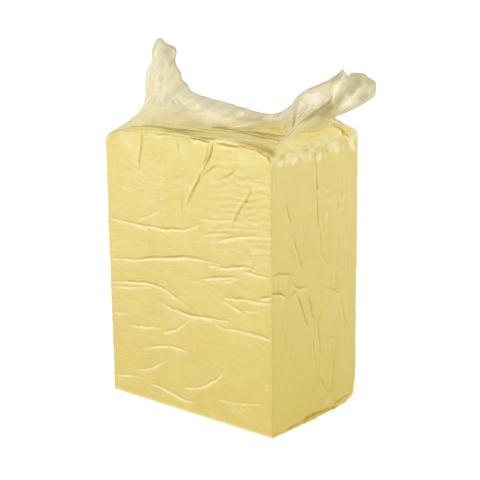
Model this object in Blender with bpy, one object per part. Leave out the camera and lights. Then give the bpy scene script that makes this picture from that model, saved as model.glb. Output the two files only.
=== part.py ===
"""A bulk block of white cheddar, standing on end in its clear shrunk bag.

The cheese is one soft-cornered slab with a crowned top. The bag clings to its sides,
and every fold of the film has pressed a groove into the cheese. Above the block the
free film runs up as a tent to its welded seam, which hangs between two stiff ears.

Metres, +Z up. The origin is the middle of the flat underside, the broad front looks
along -Y and the right-hand narrow side looks along +X.
"""

import math
import random

import bmesh
import bpy
from mathutils import Vector

MM = 0.001
SHARP_ANGLE = math.radians(35)

# The slab
WIDTH = 288 * MM
DEPTH = 182 * MM
HEIGHT = 360 * MM
CROWN = 13 * MM
CROWN_FALL_TO_RIGHT = 0.15
CROWN_REACH = 50 * MM

# How far its edges are rounded
NEAR_RADIUS = 3 * MM
LEFT_RADIUS = 4 * MM
BACK_RADIUS = 4 * MM
TOP_RADIUS = 8 * MM
TOP_CORNER_RADIUS = 5 * MM
TOP_CORNER_REACH = 25 * MM
FOOT_RADIUS = 3 * MM
WORN_CORNER_RADIUS = 13 * MM
WORN_CORNER_REACH = 45 * MM
RADIUS_REACH = 45 * MM

# Grid lines of the slab's mesh: close together at its edges, wide apart between
EDGE_LINES = (0.0, 2.5 * MM, 6 * MM, 12 * MM, 22 * MM)
WIDE_SPACING = 48 * MM

# The grooves that the film's folds press into the faces
GROOVE_WIDTH = 4.2 * MM
GROOVE_LIFT = 1.0 * MM
GROOVE_STEPS = 7
GROOVE_BLUNTNESS = 0.06
GROOVE_FLOOR_SHARE = 0.2

# The folds on the back and the left side, in shares of the face's width and millimetres
HIDDEN_FOLD_LENGTHS = (0.2, 0.55)
HIDDEN_FOLD_DEPTHS = (0.7, 1.5)
HIDDEN_FOLD_BOW = 0.08
HIDDEN_FOLD_MARGIN = 6.0
HIDDEN_FOLD_HEIGHTS = (25.0, 335.0)
BACK_SLOPES = (-0.25, 0.35)
LEFT_SLOPES = (0.9, 1.4)
BACK_COUNT = 18
LEFT_COUNT = 10
SEED = 11

# The free film above the block
FILM_GAP = 0.4 * MM
FILM_STEPS_ALONG = 64
FILM_STEPS_UP = 12
FILM_SKIRT = 14 * MM
FOOT_INSET = 4 * MM
FIN_HALF_FOOT = 9 * MM
FIN_SHARE = 0.3
FIN_HALF_WALL = 1.6 * MM
EAR_HALF_WALL = 5.5 * MM
EAR_SHARE = 0.3
END_SHARE = 0.06
TENT_SHARE = 0.4
TENT_HOLLOW = 1.0
FULL_TENT_SHARE = 0.65
FULL_TENT_HOLLOW = 0.6
TENT_LEAN = 1.5
GUSSET_SHARE = DEPTH / 2 / (WIDTH + DEPTH)
PLEAT_DEPTH = 1.6 * MM
PLEATS = (13, 21)

# The film's outline on the fin's plane: millimetres from the middle of the block's top
LEFT_EAR_EDGE = ((-132, 3), (-146, 36), (-149, 74), (-138, 92), (-139, 106), (-134, 120))
SEAM = (
    (-134, 120), (-124, 123), (-92, 107), (-95, 96), (-80, 70), (-61, 54), (0, 44),
    (66, 35), (98, 46), (120, 66), (166, 86), (182, 97), (191, 90), (201, 94), (221, 89),
    (230, 79),
)
RIGHT_EAR_EDGE = ((132, 3), (152, 24), (165, 37), (196, 50), (222, 65), (230, 79))


def blend(a, b, share):
    """The value that lies this share of the way from a to b."""
    return a + (b - a) * share


def ramp(low, high, value):
    """0 below low, 1 above high, and a smooth step between them."""
    share = min(max((value - low) / (high - low), 0.0), 1.0)
    return share * share * (3.0 - 2.0 * share)


def crown_height(x, y):
    """How far the cheese's top stands above its corners at this place."""
    along = min(abs(2 * x / WIDTH), 1.0)
    across = min(abs(2 * y / DEPTH), 1.0)
    fall = 1.0 - CROWN_FALL_TO_RIGHT * 2 * x / WIDTH
    return CROWN * (1.0 - along**5) * (1.1 - 0.1 * across**2) * fall


def near_corner(x, y, reach):
    """1 at the slab's right rear corner, falling to 0 at this reach from it."""
    return ramp(-reach, 0.0, x - WIDTH / 2) * ramp(-reach, 0.0, y - DEPTH / 2)


def edge_radius(x, y, z):
    """How softly the slab's edges are rounded near this place."""
    right = ramp(-WIDTH / 2, WIDTH / 2, x)
    back = ramp(-DEPTH / 2, DEPTH / 2, y)
    foot = 1.0 - ramp(0.0, RADIUS_REACH, z)
    upright = blend(blend(LEFT_RADIUS, NEAR_RADIUS, right), BACK_RADIUS, back)
    radius = blend(upright, FOOT_RADIUS, foot)
    worn = near_corner(x, y, WORN_CORNER_REACH)
    radius = blend(radius, WORN_CORNER_RADIUS, foot * worn)
    corner = near_corner(abs(x), abs(y), TOP_CORNER_REACH)
    top = blend(TOP_RADIUS, TOP_CORNER_RADIUS, corner)
    return blend(radius, top, ramp(HEIGHT - RADIUS_REACH, HEIGHT, z))


def soften(x, y, z):
    """Moves a point of a sharp box onto the soft-edged, crowned slab."""
    radius = edge_radius(x, y, z)
    half = (WIDTH / 2, DEPTH / 2, HEIGHT / 2)
    point = (x, y, z - HEIGHT / 2)
    core = Vector([
        min(max(p, radius - h), h - radius) for p, h in zip(point, half)
    ])
    outward = Vector(point) - core
    if outward.length > 0:
        core += outward.normalized() * radius
    core.z += HEIGHT / 2
    core.z += crown_height(x, y) * ramp(HEIGHT - CROWN_REACH, HEIGHT, z)
    return core


def grid_lines(low, high):
    """Places of the grid lines along one side of the slab."""
    inner_low, inner_high = low + EDGE_LINES[-1], high - EDGE_LINES[-1]
    count = max(2, round((inner_high - inner_low) / WIDE_SPACING))
    wide = [blend(inner_low, inner_high, i / count) for i in range(1, count)]
    return [low + e for e in EDGE_LINES] + wide + [high - e for e in EDGE_LINES[::-1]]


def slab_mesh(name, lift=0.0):
    """The plain slab before its grooves, as a mesh raised by lift."""
    bm = bmesh.new()
    lines = (
        grid_lines(-WIDTH / 2, WIDTH / 2),
        grid_lines(-DEPTH / 2, DEPTH / 2),
        grid_lines(0.0, HEIGHT),
    )
    for axis in range(3):
        first, second = [a for a in range(3) if a != axis]
        for level in (lines[axis][0], lines[axis][-1]):
            rows = []
            for p in lines[first]:
                row = []
                for q in lines[second]:
                    place = [0.0, 0.0, 0.0]
                    place[axis], place[first], place[second] = level, p, q
                    row.append(bm.verts.new(soften(*place) + Vector((0, 0, lift))))
                rows.append(row)
            join_rows(bm, rows)
    bmesh.ops.remove_doubles(bm, verts=bm.verts, dist=0.01 * MM)
    return finished_mesh(bm, name)


def join_rows(bm, rows):
    """Quads between neighbouring rows of vertices."""
    for low, high in zip(rows, rows[1:]):
        for i in range(len(low) - 1):
            bm.faces.new((low[i], low[i + 1], high[i + 1], high[i]))


def finished_mesh(bm, name):
    """The bmesh as a mesh with its faces pointing out and smooth shading."""
    bmesh.ops.recalc_face_normals(bm, faces=bm.faces)
    mesh = bpy.data.meshes.new(name)
    bm.to_mesh(mesh)
    bm.free()
    mesh.shade_smooth()
    mesh.set_sharp_from_angle(angle=SHARP_ANGLE)
    return mesh


def add_object(name, mesh, material=None):
    """A new object in the scene that holds this mesh."""
    obj = bpy.data.objects.new(name, mesh)
    bpy.context.scene.collection.objects.link(obj)
    if material:
        mesh.materials.append(material)
    return obj


def plain_material(name, colour, roughness):
    """A Principled surface of one colour."""
    material = bpy.data.materials.new(name)
    material.use_nodes = True
    shader = material.node_tree.nodes["Principled BSDF"]
    shader.inputs["Base Color"].default_value = (*colour, 1.0)
    shader.inputs["Roughness"].default_value = roughness
    shader.inputs["Metallic"].default_value = 0.0
    return material


# Each face: its lower left corner as seen from outside, the way it runs, the way it looks
FACES = {
    "front": (Vector((-WIDTH / 2, -DEPTH / 2, 0)), Vector((1, 0, 0)), Vector((0, -1, 0))),
    "right": (Vector((WIDTH / 2, -DEPTH / 2, 0)), Vector((0, 1, 0)), Vector((1, 0, 0))),
    "back": (Vector((WIDTH / 2, DEPTH / 2, 0)), Vector((-1, 0, 0)), Vector((0, 1, 0))),
    "left": (Vector((-WIDTH / 2, DEPTH / 2, 0)), Vector((0, -1, 0)), Vector((-1, 0, 0))),
}

# Folds on the two faces that show: start, end, bow, sway and depth, in millimetres from
# the face's lower left corner. The first group crosses the broad front from side to side.
FRONT_FOLDS = (
    ((4, 193), (205, 215), 4, -3, 1.7),
    ((186, 211), (212, 211), 1, 0, 0.8),
    ((4, 249), (175, 263), -9, 2, 1.4),
    ((172, 269), (222, 274), 0, 0, 1.0),
    ((55, 252), (101, 272), 0, 0, 0.8),
    ((176, 248), (222, 258), 2, 0, 1.0),
    ((203, 244), (286, 262), 4, 1, 1.2),
    ((198, 208), (262, 217), 4, -1, 1.4),
    ((238, 216), (286, 210), -1, 0, 1.0),
    ((168, 189), (236, 202), 3, 0, 1.3),
    ((205, 192), (232, 201), 0, 0, 0.7),
    ((212, 173), (287, 180), 0, 1, 1.2),
    ((268, 180), (287, 188), 0, 0, 1.6),
    ((210, 168), (248, 155), 0, 0, 0.9),
    ((242, 161), (266, 166), 0, 0, 0.5),
    ((4, 158), (148, 147), 16, -2, 1.3),
    ((4, 151), (82, 164), 1, 0, 0.9),
    ((97, 147), (218, 144), -6, -1, 1.5),
    ((206, 131), (286, 132), 3, 0, 1.2),
    ((196, 137), (208, 131), 0, 0, 0.7),
    ((100, 105), (150, 134), -3, 0, 0.9),
    ((40, 104), (98, 109), 1, 0, 0.9),
    ((4, 117), (34, 120), 0, 0, 0.6),
    ((66, 75), (148, 87), 7, 0, 1.0),
    ((50, 43), (104, 66), -3, 0, 0.8),
    ((8, 25), (60, 33), 1, 0, 0.7),
    ((78, 26), (156, 19), 1, 2, 1.1),
    ((138, 37), (206, 72), -7, 0, 1.0),
    ((198, 33), (276, 47), -2, 0, 0.8),
    # Folds that hang from the top edge
    ((70, 350), (61, 326), 0, 0, 1.4),
    ((182, 350), (150, 287), 7, 0, 1.6),
    ((176, 322), (203, 344), 1, 0, 0.9),
    ((200, 322), (236, 348), -5, 0, 0.9),
    ((258, 318), (227, 269), 0, 1, 0.9),
)
RIGHT_FOLDS = (
    ((86, 346), (94, 258), 1, 0, 1.3),
    ((96, 245), (130, 204), -4, 0, 0.9),
    ((28, 303), (68, 204), -5, 0, 0.8),
    ((4, 212), (44, 204), 3, 0, 1.0),
    ((36, 200), (68, 183), -3, 0, 1.2),
    ((3, 190), (30, 179), 2, 0, 1.7),
    ((30, 178), (48, 184), 0, 0, 1.0),
    ((46, 184), (73, 130), 1, 0, 1.6),
    ((66, 176), (93, 130), 0, 3, 1.2),
    ((101, 158), (93, 131), 1, 0, 0.7),
    ((93, 130), (101, 84), 0, 0, 1.2),
    ((85, 110), (94, 60), 0, 0, 0.9),
    ((99, 60), (116, 31), -2, 0, 1.1),
    ((135, 98), (120, 18), 0, 0, 0.8),
    ((115, 108), (137, 100), 0, 0, 0.6),
    ((143, 156), (164, 106), -4, 0, 0.6),
    ((106, 175), (142, 163), 2, 0, 0.7),
)


def drawn_folds(span, count, slopes, rng):
    """Folds for a face of this width that the film's pull sets at about these slopes."""
    low, high = HIDDEN_FOLD_HEIGHTS
    folds = []
    for i in range(count):
        length = rng.uniform(*HIDDEN_FOLD_LENGTHS) * span
        slope = rng.uniform(*slopes)
        reach = length * math.cos(slope)
        x = rng.uniform(HIDDEN_FOLD_MARGIN, span - HIDDEN_FOLD_MARGIN - reach)
        z = blend(low, high, (i + rng.random()) / count)
        end_z = min(max(z + length * math.sin(slope), low), high)
        bow = rng.uniform(-HIDDEN_FOLD_BOW, HIDDEN_FOLD_BOW) * length
        depth = rng.uniform(*HIDDEN_FOLD_DEPTHS)
        folds.append(((x, z), (x + reach, end_z), bow, bow / 3, depth))
    return folds


def fold_path(face, start, end, bow, sway):
    """Points and sideways directions of one fold, on its face, from start to end."""
    corner, run, _ = FACES[face]
    a, b = Vector(start) * MM, Vector(end) * MM
    along = (b - a).normalized()
    aside = Vector((-along.y, along.x))
    path = []
    for i in range(GROOVE_STEPS + 1):
        t = i / GROOVE_STEPS
        off = (bow * 4 * t * (1 - t) + sway * math.sin(2 * math.pi * t)) * MM
        flat = a.lerp(b, t) + aside * off
        path.append(corner + run * flat.x + Vector((0, 0, flat.y)))
    return path, run * aside.x + Vector((0, 0, aside.y))


def groove_cutter(face, fold, index):
    """A closed wedge along one fold, which tapers out at both its ends."""
    start, end, bow, sway, depth = fold
    path, aside = fold_path(face, start, end, bow, sway)
    outward = FACES[face][2]
    bm = bmesh.new()
    rings = []
    for i, point in enumerate(path):
        share = blend(GROOVE_BLUNTNESS, 1.0 - GROOVE_BLUNTNESS, i / GROOVE_STEPS)
        taper = math.sqrt(math.sin(math.pi * share))
        half = GROOVE_WIDTH / 2 * taper
        ring = [
            point + aside * half + outward * GROOVE_LIFT,
            point + aside * half * GROOVE_FLOOR_SHARE - outward * depth * MM * taper,
            point - aside * half + outward * GROOVE_LIFT,
        ]
        rings.append([bm.verts.new(p) for p in ring])
    for low, high in zip(rings, rings[1:]):
        for i in range(3):
            bm.faces.new((low[i], low[(i + 1) % 3], high[(i + 1) % 3], high[i]))
    bm.faces.new(rings[0])
    bm.faces.new(rings[-1])
    cutter = bpy.data.objects.new(f"groove_{face}_{index}", finished_mesh(bm, "groove"))
    cutter.hide_render = True
    cutter.display_type = "WIRE"
    return cutter


def cut(obj, collection, name):
    """Cuts a collection's shapes out of obj, applies it and removes the collection."""
    modifier = obj.modifiers.new(name, "BOOLEAN")
    modifier.operation = "DIFFERENCE"
    modifier.solver = "EXACT"
    modifier.operand_type = "COLLECTION"
    modifier.collection = collection
    graph = bpy.context.evaluated_depsgraph_get()
    mesh = bpy.data.meshes.new_from_object(obj.evaluated_get(graph))
    obj.modifiers.clear()
    mesh.set_sharp_from_angle(angle=SHARP_ANGLE)
    obj.data = mesh
    for tool in list(collection.objects):
        bpy.data.objects.remove(tool)
    bpy.data.collections.remove(collection)


def cutter_collection(name, objects):
    """A collection in the scene that holds the cutting shapes."""
    collection = bpy.data.collections.new(name)
    bpy.context.scene.collection.children.link(collection)
    for obj in objects:
        collection.objects.link(obj)
    return collection


def make_cheese():
    """The block of cheese, with the grooves of the film's folds in its four sides."""
    material = plain_material("cheese", (0.81, 0.66, 0.23), 0.45)
    cheese = add_object("cheese_block", slab_mesh("cheese_block"), material)
    rng = random.Random(SEED)
    folds = {
        "front": FRONT_FOLDS,
        "right": RIGHT_FOLDS,
        "back": drawn_folds(WIDTH / MM, BACK_COUNT, BACK_SLOPES, rng),
        "left": drawn_folds(DEPTH / MM, LEFT_COUNT, LEFT_SLOPES, rng),
    }
    cutters = [
        groove_cutter(face, fold, i)
        for face, listed in folds.items()
        for i, fold in enumerate(listed)
    ]
    cut(cheese, cutter_collection("grooves", cutters), "fold_grooves")
    return cheese


def smooth_curve(points, t):
    """The place at share t of a smooth curve through points, by their chord lengths."""
    knots = [Vector(p) for p in points]
    lengths = [(b - a).length for a, b in zip(knots, knots[1:])]
    left = t * sum(lengths)
    i = 0
    while i < len(lengths) - 1 and left > lengths[i]:
        left -= lengths[i]
        i += 1
    u = min(left / lengths[i], 1.0)
    p1, p2 = knots[i], knots[i + 1]
    p0 = knots[i - 1] if i > 0 else 2 * p1 - p2
    p3 = knots[i + 2] if i + 2 < len(knots) else 2 * p2 - p1
    return 0.5 * (
        2 * p1 + (p2 - p0) * u + (2 * p0 - 5 * p1 + 4 * p2 - p3) * u**2
        + (3 * p1 - p0 - 3 * p2 + p3) * u**3
    )


def film_foot(s):
    """Where the free film leaves the cheese, for the front half of the bag: x and y.

    It follows the left side from its middle to the front corner, slants in to the fin,
    runs along it, and slants out again to the right side.
    """
    x_end = WIDTH / 2 - FOOT_INSET
    y_end = DEPTH / 2 - FOOT_INSET
    from_end = min(s, 1 - s)
    side = -1 if s < 0.5 else 1
    if from_end < GUSSET_SHARE:
        return side * x_end, -y_end * from_end / GUSSET_SHARE
    across = (from_end - GUSSET_SHARE) / (0.5 - GUSSET_SHARE)
    half = blend(y_end, FIN_HALF_FOOT, min(across / FIN_SHARE, 1.0))
    return side * x_end * (1 - across), -half


def film_point(s, t, half):
    """A point of the free film. s runs along the seam from the left ear's tip to the
    right one's, t up from the cheese to the seam, and half is -1 in front, 1 behind."""
    foot_x, foot_y = film_foot(s)
    foot = Vector((foot_x / MM, crown_height(foot_x, foot_y) / MM))
    seam = smooth_curve(SEAM, s)
    left, right = smooth_curve(LEFT_EAR_EDGE, t), smooth_curve(RIGHT_EAR_EDGE, t)
    flat = Vector((blend(foot.x, seam.x, t**TENT_LEAN), blend(foot.y, seam.y, t)))
    flat += (1 - s) ** 3 * (left - Vector(LEFT_EAR_EDGE[0]).lerp(Vector(SEAM[0]), t))
    flat += s**3 * (right - Vector(RIGHT_EAR_EDGE[0]).lerp(Vector(SEAM[-1]), t))
    from_end = min(s, 1 - s)
    closing = math.sin(math.pi / 2 * min(from_end / END_SHARE, 1.0)) ** 0.5
    ear = 1.0 - ramp(EAR_SHARE / 3, EAR_SHARE, from_end)
    wall = blend(FIN_HALF_WALL, EAR_HALF_WALL, ear) * closing * (1.0 - t**4)
    full = ramp(1.0 - 2 * EAR_SHARE, 1.0 - EAR_SHARE / 3, s) if half < 0 else 0.0
    closed = min(t / blend(TENT_SHARE, FULL_TENT_SHARE, full), 1.0)
    spread = -foot_y * (1.0 - closed) ** blend(TENT_HOLLOW, FULL_TENT_HOLLOW, full)
    pleat = sum(math.sin(2 * math.pi * count * s + count) for count in PLEATS)
    pleat *= PLEAT_DEPTH * ramp(0.1, 0.6, t) * blend(0.5, 1.0, ear)
    return Vector((
        flat.x * MM,
        half * (wall + spread) + pleat * closing,
        HEIGHT + flat.y * MM,
    ))


def film_mesh(name):
    """The free film as one closed solid, its skirt still reaching into the cheese."""
    bm = bmesh.new()
    halves = []
    for half in (-1, 1):
        rows = []
        for j in range(FILM_STEPS_UP + 1):
            rows.append([
                bm.verts.new(film_point(i / FILM_STEPS_ALONG, j / FILM_STEPS_UP, half))
                for i in range(FILM_STEPS_ALONG + 1)
            ])
        rows.insert(0, [bm.verts.new(v.co - Vector((0, 0, FILM_SKIRT))) for v in rows[0]])
        join_rows(bm, rows)
        halves.append(rows)
    front, back = halves[0][0], halves[1][0]
    for i in range(FILM_STEPS_ALONG):
        bm.faces.new((front[i], front[i + 1], back[i + 1], back[i]))
    bmesh.ops.remove_doubles(bm, verts=bm.verts, dist=0.02 * MM)
    return finished_mesh(bm, name)


def make_film():
    """The bag's free film: the tent over the block's top, its seam and its two ears."""
    material = plain_material("film", (0.74, 0.68, 0.48), 0.3)
    film = add_object("bag_top", film_mesh("bag_top"), material)
    slab = bpy.data.objects.new("slab_cutter", slab_mesh("slab_cutter", lift=FILM_GAP))
    slab.hide_render = True
    slab.display_type = "WIRE"
    cut(film, cutter_collection("slab", [slab]), "sit_on_cheese")
    return film


def main():
    for obj in list(bpy.data.objects):
        bpy.data.objects.remove(obj)
    make_cheese()
    make_film()


main()
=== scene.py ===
"""A bulk block of white cheddar, standing on end in its clear shrunk bag.

The file follows the pack as it is put together: the studio, the pressed block of cheese,
the film that clings to it, and the free film above with its welded seam and two ears.
Metres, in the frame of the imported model: +Z up, the broad front looks along -Y.
"""

import math
import random

import bmesh
import bpy
import numpy as np
from mathutils import Matrix, Vector, noise


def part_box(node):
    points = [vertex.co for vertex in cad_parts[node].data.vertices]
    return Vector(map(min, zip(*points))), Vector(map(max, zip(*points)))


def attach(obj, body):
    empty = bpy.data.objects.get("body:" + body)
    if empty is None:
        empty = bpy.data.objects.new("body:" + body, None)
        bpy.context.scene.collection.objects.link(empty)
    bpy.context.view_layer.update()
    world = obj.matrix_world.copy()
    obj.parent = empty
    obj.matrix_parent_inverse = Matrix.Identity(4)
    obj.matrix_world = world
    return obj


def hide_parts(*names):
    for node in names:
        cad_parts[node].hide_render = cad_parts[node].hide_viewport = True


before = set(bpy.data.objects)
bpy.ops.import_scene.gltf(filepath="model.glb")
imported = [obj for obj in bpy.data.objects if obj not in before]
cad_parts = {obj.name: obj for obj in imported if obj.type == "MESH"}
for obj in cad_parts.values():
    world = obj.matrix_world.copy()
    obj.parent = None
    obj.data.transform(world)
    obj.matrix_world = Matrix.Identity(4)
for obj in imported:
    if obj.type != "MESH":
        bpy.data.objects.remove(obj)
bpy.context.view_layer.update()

# The studio: a pale table top that runs out of sight, under a wide soft sky. A large
# softbox hangs above the front, a little to the left, and a weak one lights the right.

MM = 0.001
FLOOR_REACH = 30.0
TABLE_WHITE = 0.55
TABLE_GLOW = 0.80
SKY_AT_HORIZON = 0.72
SKY_OVERHEAD = 0.54
SKY_FADE = (0.15, 0.45)
SENSOR_WIDTH = 36.0
LENS = 89.2
CAMERA_PLACE = (1.023, -1.172, 0.586)
CAMERA_TURN = 40.68
CAMERA_DIP = 13.24
CAMERA_ROLL = -0.63
SOFTBOX_TARGET = (0.0, 0.0, 0.2)


def link(obj):
    """Puts a new object into the scene."""
    bpy.context.scene.collection.objects.link(obj)
    return obj


def shader_tree(owner):
    """Empties the nodes of a material or a world, and gives a function that adds nodes."""
    owner.use_nodes = True
    tree = owner.node_tree
    tree.nodes.clear()

    def add(kind, inputs=None, **settings):
        node = tree.nodes.new("ShaderNode" + kind)
        for name, value in settings.items():
            setattr(node, name, value)
        for name, value in (inputs or {}).items():
            if isinstance(value, bpy.types.NodeSocket):
                tree.links.new(value, node.inputs[name])
            else:
                node.inputs[name].default_value = value
        return node

    return add


floor_mesh = bpy.data.meshes.new("table_top")
floor_mesh.from_pydata(
    [(x * FLOOR_REACH, y * FLOOR_REACH, 0.0) for x, y in ((-1, -1), (1, -1), (1, 1), (-1, 1))],
    [],
    [(0, 1, 2, 3)],
)
floor = link(bpy.data.objects.new("table_top", floor_mesh))
table_material = bpy.data.materials.new("pale_table")
add = shader_tree(table_material)
table_surface = add(
    "BsdfPrincipled",
    {
        "Base Color": (TABLE_WHITE, TABLE_WHITE, TABLE_WHITE, 1.0),
        "Roughness": 0.8,
        "Emission Color": (1.0, 1.0, 1.0, 1.0),
        "Emission Strength": TABLE_GLOW,
    },
)
add("OutputMaterial", {"Surface": table_surface.outputs[0]})
floor_mesh.materials.append(table_material)

sky = bpy.data.worlds.new("studio_sky")
add = shader_tree(sky)
sky_direction = add("TexCoord")
sky_height = add("SeparateXYZ", {"Vector": sky_direction.outputs["Generated"]})
sky_fade = add(
    "MapRange",
    {
        "Value": sky_height.outputs["Z"],
        "From Min": SKY_FADE[0],
        "From Max": SKY_FADE[1],
        "To Min": SKY_AT_HORIZON,
        "To Max": SKY_OVERHEAD,
    },
)
sky_light = add("Background", {"Color": (1.0, 1.0, 1.0, 1.0), "Strength": sky_fade.outputs[0]})
add("OutputWorld", {"Surface": sky_light.outputs[0]})
bpy.context.scene.world = sky
bpy.context.scene.view_settings.view_transform = "Standard"
bpy.context.scene.view_settings.look = "None"


def softbox(name, place, size, power):
    """A square area light at place that faces the middle of the block."""
    lamp = bpy.data.lights.new(name, "AREA")
    lamp.size = size
    lamp.energy = power
    lamp_object = link(bpy.data.objects.new(name, lamp))
    lamp_object.location = place
    facing = (Vector(SOFTBOX_TARGET) - Vector(place)).to_track_quat("-Z", "Y")
    lamp_object.rotation_euler = facing.to_euler()


softbox("key_softbox", place=(-0.45, -1.02, 2.05), size=0.6, power=14.5)
softbox("side_softbox", place=(1.6, 0.7, 1.3), size=0.7, power=2.8)

camera = link(bpy.data.objects.new("camera", bpy.data.cameras.new("camera")))
camera.data.sensor_width = SENSOR_WIDTH
camera.data.lens = LENS
camera.matrix_world = (
    Matrix.Translation(CAMERA_PLACE)
    @ Matrix.Rotation(math.radians(CAMERA_TURN), 4, "Z")
    @ Matrix.Rotation(math.radians(90.0 - CAMERA_DIP), 4, "X")
    @ Matrix.Rotation(math.radians(CAMERA_ROLL), 4, "Z")
)
bpy.context.scene.camera = camera

# The cheese: one pressed block of pale cheddar, soft at its edges and crowned on top. It
# was bagged young and soft, so each fold of the shrunk film has pressed a groove into it.

block_low, block_high = (Vector(corner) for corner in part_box("cheese_block"))
WIDTH = block_high.x - block_low.x
DEPTH = block_high.y - block_low.y
HEIGHT = 360 * MM
CROWN = 13 * MM
CROWN_SIDE_FALL = 0.1
CROWN_FALL_TO_RIGHT = 0.15
CROWN_FLATNESS = 5
CROWN_REACH = 50 * MM
NEAR_RADIUS = 3 * MM
LEFT_RADIUS = 4 * MM
BACK_RADIUS = 4 * MM
TOP_RADIUS = 8 * MM
TOP_CORNER_RADIUS = 5 * MM
TOP_CORNER_REACH = 25 * MM
# The top's right shoulder: a softer edge and a lift that fade in behind the front edge, and
# the rear corner that stands highest
SHOULDER_RADIUS = 15 * MM
SHOULDER_REACH = 30 * MM
SHOULDER_FRONT = (-88 * MM, -60 * MM)
SHOULDER_BACK = (45 * MM, 80 * MM)
SHOULDER_LIFT = 3.5 * MM
SHOULDER_LIFT_FROM = (85 * MM, 118 * MM)
SHOULDER_LIFT_FRONT = (-88 * MM, -55 * MM)
REAR_LIFT = 8.5 * MM
REAR_LIFT_PLACE = (138 * MM, 72 * MM)
REAR_LIFT_SPREAD = (34 * MM, 30 * MM)
# The foot, and its worn corner at the right rear
FOOT_RADIUS = 3 * MM
WORN_CORNER_RADIUS = 13 * MM
WORN_CORNER_REACH = 45 * MM
RADIUS_REACH = 45 * MM
# The grid: its lines by the edges, its spacing between them, and how near a fold it is finer
EDGE_LINES = tuple(e * MM for e in (0.0, 1.0, 2.2, 3.6, 5.5, 8.0, 11.0))
BASE_SPACING = 4.2 * MM
FINE_REACHES = (7.5 * MM, 4.5 * MM, 2.4 * MM)
RIPPLE_SEEN = 0.04 * MM
RIM_BAND = 24 * MM
# Folds. How far they wander and how much their strength varies: by how much, over how many
# millimetres, and where in the noise
FOLD_HALF_WIDTH = 1.75 * MM
FOLD_STEPS = 22
FOLD_MARGIN = 12 * MM
FOLD_WANDER = ((1.7, 32, 0), (1.1, 9, 5))
FOLD_VIGOUR = (0.8, 13, 9)
DEEPEST_GROOVE = 1.8 * MM
HIGHEST_SWELLING = 1.9 * MM
# The lumpy rim, and the crumbly curd below it and on the shoulder, from where y and x say
RIM_DROP = 14 * MM
CALM_RIM_FROM = 100 * MM
CURD_DROP = 14 * MM
CURD_WAVES = 9 * MM
CURD_CRUMBS = 12 * MM
SHOULDER_LINE = ((-91, 147), (-38, 118), (6, 98), (30, 88))
SHOULDER_LINE_CALM = (-80 * MM, 0.0)
# The pale scrap on the front edge, the streaks of the top and the bumps along the end's foot
SCRAP_PLACE = 66 * MM
SCRAP_HALF_LENGTH = 21 * MM
SCRAP_RELIEF = 1.5 * MM
STREAK_RELIEF = 1.4 * MM
FOOT_BUMPS = 2.2 * MM
FOOT_BUMPS_UP = 6 * MM
FOOT_BUMPS_REACH = 7 * MM
CHEESE_INSET = 0.5 * MM
ON_SIDE = 1e-6
SEED = 11


def blend(a, b, share):
    """The value that lies this share of the way from a to b."""
    return a + (b - a) * share


def ramp(low, high, value):
    """0 below low, 1 above high, and a smooth step between them."""
    share = np.clip((value - low) / (high - low), 0.0, 1.0)
    return share * share * (3.0 - 2.0 * share)


def hump(value, middle, spread):
    """1 at the middle, falling smoothly to 0 well beyond this spread."""
    return np.exp(-(((value - middle) / spread) ** 2))


def crown_height(x, y):
    """How far the cheese's top stands above its corners at this place."""
    along = np.minimum(np.abs(2 * x / WIDTH), 1.0)
    across = np.minimum(np.abs(2 * y / DEPTH), 1.0)
    fall = 1.0 - CROWN_FALL_TO_RIGHT * 2 * x / WIDTH
    across_fall = 1.0 + CROWN_SIDE_FALL * (1.0 - across**2)
    return CROWN * (1.0 - along**CROWN_FLATNESS) * across_fall * fall


def shoulder_lift(x, y):
    """How far the right shoulder and its rear corner stand above the crown."""
    rear = hump(x, REAR_LIFT_PLACE[0], REAR_LIFT_SPREAD[0])
    rear *= hump(y, REAR_LIFT_PLACE[1], REAR_LIFT_SPREAD[1])
    lift = SHOULDER_LIFT * ramp(*SHOULDER_LIFT_FROM, x) + REAR_LIFT * rear
    return lift * ramp(*SHOULDER_LIFT_FRONT, y)


def near_corner(x, y, reach):
    """1 at the block's right rear corner, falling to 0 at this reach from it."""
    return ramp(-reach, 0.0, x - WIDTH / 2) * ramp(-reach, 0.0, y - DEPTH / 2)


def edge_radius(x, y, z):
    """How softly the block's edges are rounded near this place."""
    right = ramp(-WIDTH / 2, WIDTH / 2, x)
    back = ramp(-DEPTH / 2, DEPTH / 2, y)
    foot = 1.0 - ramp(0.0, RADIUS_REACH, z)
    upright = blend(blend(LEFT_RADIUS, NEAR_RADIUS, right), BACK_RADIUS, back)
    radius = blend(upright, FOOT_RADIUS, foot)
    radius = blend(radius, WORN_CORNER_RADIUS, foot * near_corner(x, y, WORN_CORNER_REACH))
    corner = near_corner(np.abs(x), np.abs(y), TOP_CORNER_REACH)
    top = blend(TOP_RADIUS, TOP_CORNER_RADIUS, corner)
    shoulder = ramp(WIDTH / 2 - SHOULDER_REACH, WIDTH / 2, x) * ramp(*SHOULDER_FRONT, y)
    top = blend(top, SHOULDER_RADIUS, shoulder * (1.0 - ramp(*SHOULDER_BACK, y)))
    return blend(radius, top, ramp(HEIGHT - RADIUS_REACH, HEIGHT, z))


def block_surface(box_points, lift):
    """Points of a sharp box moved onto the soft-edged, crowned block, raised by lift."""
    x, y, z = box_points.T
    radius = edge_radius(x, y, z)[:, None]
    half = np.array((WIDTH, DEPTH, HEIGHT)) / 2
    centred = box_points - (0.0, 0.0, HEIGHT / 2)
    core = np.clip(centred, radius - half, half - radius)
    outward = centred - core
    outward /= np.maximum(np.linalg.norm(outward, axis=1, keepdims=True), 1e-9)
    surface = core + outward * (radius + lift[:, None])
    surface[:, 2] += HEIGHT / 2 + crown_height(x, y) * ramp(HEIGHT - CROWN_REACH, HEIGHT, z)
    return surface


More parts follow.
